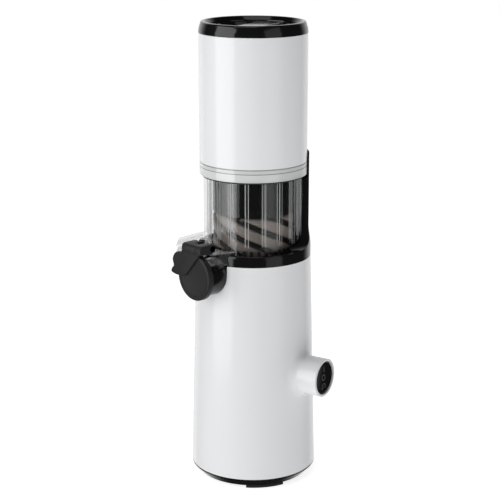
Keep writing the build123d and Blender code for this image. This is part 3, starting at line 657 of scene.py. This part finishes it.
def screw_ring(z, shrink=0.0, lift=0.0):
    count = 360
    ring = []
    for i in range(count):
        turn = tau * i / count
        r = max(screw_radius(turn, z) - shrink, 11.0)
        ring.append((r * cos(turn), r * sin(turn), z + lift))
    return ring


def plain_ring(r, z, count=360):
    return [(r * cos(tau * i / count), r * sin(tau * i / count), z) for i in range(count)]


shoulder = 5.0
rings = [plain_ring(bore_r, screw_z0 + socket_depth), plain_ring(bore_r, screw_z0), screw_ring(screw_z0)]
rings += [screw_ring(screw_z0 + (screw_z1 - shoulder - screw_z0) * k / 40) for k in range(1, 41)]
for k in range(1, 9):
    lean = pi / 2 * k / 8
    rings.append(screw_ring(screw_z1 - shoulder * (1 - sin(lean)), shoulder * (1 - cos(lean))))
rings.append(plain_ring(11.0, screw_z1))
auger = ringed("auger_helix", rings, "auger", "auger_plastic", sharp=50)
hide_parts("auger_screw")

# %% [markdown]
# ## The lid
# The lid is a plug with two finger wells on either side of a broad grip bar. Its top is a height map on
# rings: the depth falls smoothly where a point is both clear of the bar and inside the well's outline.

# %% Lid with finger wells
lid_r, lid_z0, lid_z1 = lid_high.x / mm, lid_low.z / mm, lid_high.z / mm
grip_half, well_r, well_depth, grip_turn = 11.0, 33.2, lid_z1 - lid_z0 - 4.4, radians(20)


def lid_point(r, turn):
    """Point of the lid's top at a radius and an angle."""
    x, y = r * cos(turn), r * sin(turn)
    off_bar = abs(x * cos(grip_turn) + y * sin(grip_turn)) - grip_half
    dip = smooth_step(off_bar / 4.5) * smooth_step((well_r - r) / 3.0)
    edge = 1.2 * (1 - cos(min(1.0, max(0.0, (r - lid_r + 1.6) / 1.6)) * pi / 2))
    return (x, y, lid_z1 - well_depth * dip - edge)


count = 300
rings = [plain_ring(lid_r - 2.2, lid_z0 + 2.1, count), plain_ring(lid_r - 2.2, lid_z0, count),
         plain_ring(lid_r, lid_z0, count), plain_ring(lid_r, lid_z1 - 2.2, count)]
for i in range(61):
    r = lid_r * (1 - i / 61)
    rings.append([lid_point(r, tau * k / count) for k in range(count)])
lid = ringed("lid_top", rings, "lid", "gloss_black", sharp=60)
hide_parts("lid_cap")

# %% [markdown]
# ## The spout cap
# A round cap closes the spout. It has a soft edge and a fine raised line, and a lever plate is bonded
# over its upper left. Two arms reach back from the lever and hook on the clear pin, and the left end of
# the plate is the tab that a thumb pushes.

# %% Cap disc
to_front = Matrix.Translation((0, 0, cap_centre.z)) @ Matrix.Rotation(pi / 2, 4, "X")
cap_back, cap_front = -cap_high.y / mm, -cap_low.y / mm
cap_out = cap_r / mm
cap_face = cap_front - 0.5
cap_section = [(0, cap_back, 0), (cap_out, cap_back, 0.3), (cap_out, cap_face, 1.9)]
cap_section += [(cap_out - 3.0, cap_face, 0.1), (cap_out - 3.2, cap_front, 0.15)]
cap_section += [(cap_out - 4.2, cap_front, 0.15), (cap_out - 4.4, cap_face, 0.1), (0, cap_face, 0)]
cap = lathe("cap_round", cap_section, "spout_cap", "satin_black", to_front, sharp=40)
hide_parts("cap_disc")

# %% Cap lever
lever_front = -lever_low.y / mm
lever_top = lever_high.z / mm
pin_reach, pin_z = -hinge_at.y / mm, hinge_at.z / mm
bar_z = pin_z - 4.1
left_edge = [(-7.9, 1.2), (-14, -1), (-23, -1.2), (-28.4, 0.4), (-27.6, 4.0), (-25.2, 6.8), (-26.6, 12.4),
             (-24.2, 17.6), (-20.4, 20.1), (-16.4, 20.9), (-13, 22.8)]
outline = through(left_edge)[::-1] + through([(-7.9, 1.2), (2, 12.6), (9.5, 21.4), (11.8, 26)])[1:]
plate = slab("lever_plate", outline, cap_face, lever_front - 0.3, 0.9, "spout_cap", "satin_black", to_front)
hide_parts("cap_lever")


def arc(centre, r, start, end, steps=12):
    """Points of an arc, from one angle to another, in degrees."""
    turns = [radians(start + (end - start) * k / steps) for k in range(steps + 1)]
    return [(centre[0] + r * cos(a), centre[1] + r * sin(a)) for a in turns]


pin = (pin_reach, pin_z)
hook_out, hook_in = 4.0, 2.1
front_edge = [(lever_front, bar_z, 1.6), (lever_front, lever_top, 4.2)]
nose = softened([(pin_reach, bar_z, 0), *front_edge, (pin_reach, lever_top, 0)])[1:-1]
hooked = arc(pin, hook_out, 204, 268) + [tuple(p) for p in nose]
hooked += arc(pin, hook_out, 90, 160) + arc(pin, hook_in, 160, -156)
solid_bar = [tuple(p) for p in softened([(cap_back, bar_z, 0.3), *front_edge, (cap_back, lever_top, 0.5)])]
across = Matrix(((0, 0, 1, 0), (-1, 0, 0, 0), (0, 1, 0, 0), (0, 0, 0, 1)))
slab("lever_arm_left", hooked, -13, -3.2, 0.6, "spout_cap", "satin_black", across, both=True)
slab("lever_arm_right", hooked, 3.2, 12, 0.6, "spout_cap", "satin_black", across, both=True)
slab("lever_bar", solid_bar, -4.2, 4.2, 0.1, "spout_cap", "satin_black", across)
print("spout cap made")

# %% [markdown]
# ## The switch
# The rocker is slightly dished, so that a fingertip finds it, and carries three printed symbols: a bar
# for forward, a ring for off and a curved arrow for reverse. Where its tube leaves the body, the moulding
# has a soft fillet.

# %% Rocker and its symbols
rocker_low, rocker_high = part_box("switch_rocker")
rocker_r = (rocker_high.z - rocker_low.z) / 2 / mm
switch_z = switch_at.z / mm
face_reach = 76.2
thickness = 3.0
to_switch = (Matrix.Translation((0, 0, switch_at.z)) @ Matrix.Rotation(switch_turn, 4, "Z")
             @ Matrix.Rotation(pi / 2, 4, "Z") @ Matrix.Rotation(pi / 2, 4, "X"))
dish = 0.7
dish_section = [(0, face_reach - thickness, 0), (rocker_r, face_reach - thickness, 0.3)]
dish_section += [(rocker_r, face_reach, 0.6)]
for k in range(1, 12):
    share = 1 - k / 12
    dish_section.append((rocker_r * share, face_reach - dish * (1 - share ** 2), 0))
dish_section += [(0, face_reach - dish, 0)]
rocker = lathe("rocker_dish", dish_section, "rocker", "gloss_black", to_switch, sharp=40)
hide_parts("switch_rocker")


def print_symbol(name, outline):
    """Thin print that follows the dished face."""
    level = max(face_reach - dish * (1 - (hypot(x, y) / rocker_r) ** 2) for x, y in outline)
    slab(name, outline, level - 0.25, level + 0.03, 0.01, "rocker", "symbol_print", to_switch)


def band(centre, r, width, start, end, steps=40):
    """Curved stroke of even width."""
    return arc(centre, r + width / 2, start, end, steps) + arc(centre, r - width / 2, end, start, steps)


print_symbol("symbol_forward", [(-0.55, 5.4), (0.55, 5.4), (0.55, 10.4), (-0.55, 10.4)])
print_symbol("symbol_off", band((0, 0), 2.6, 1.0, 0, 359.5))
print_symbol("symbol_reverse", band((0, -8.2), 2.5, 1.0, -50, 210))
print_symbol("symbol_arrow", [(-3.9, -9.0), (-1.1, -8.6), (-2.9, -11.4)])

# %% Fillet round the switch tube
boss_r, blend_r = 17.6, 6.0
shell_z0, shell_z1 = 11.0, shell_high.z / mm
shell_r0, shell_r1 = shell_high.x / mm, shell_high.x / mm - 5.2


def shell_x(side, z):
    """How far out the body's wall is, beside the switch's axis."""
    r = shell_r0 + (shell_r1 - shell_r0) * (z - shell_z0) / (shell_z1 - shell_z0)
    return (r * r - side * side) ** 0.5


turns, bends = 180, 8
rings = []
for i in range(turns):
    a = tau * i / turns
    ring = []
    for k in range(bends + 1):
        lean = pi / 2 * k / bends
        r = boss_r - 0.05 + blend_r * (1 - cos(lean))
        out = blend_r * (1 - sin(lean))
        ring.append((r * sin(a), r * cos(a), shell_x(r * sin(a), switch_z + r * cos(a)) + out + 0.02))
    for r in (boss_r + blend_r - 0.3, boss_r - 0.3):
        ring.append((r * sin(a), r * cos(a), shell_x(r * sin(a), switch_z + r * cos(a)) - 0.5))
    rings.append(ring)
count = len(rings[0])
verts = [Vector(v) * mm for ring in rings for v in ring]
faces = []
for i in range(turns):
    near = i * count
    far = (i + 1) % turns * count
    faces += [(near + k, near + (k + 1) % count, far + (k + 1) % count, far + k) for k in range(count)]
fillet = new_piece("switch_fillet", verts, faces, "base", "gloss_white", 60)
weld(fillet)
fillet.data.transform(to_switch)
print("switch made")
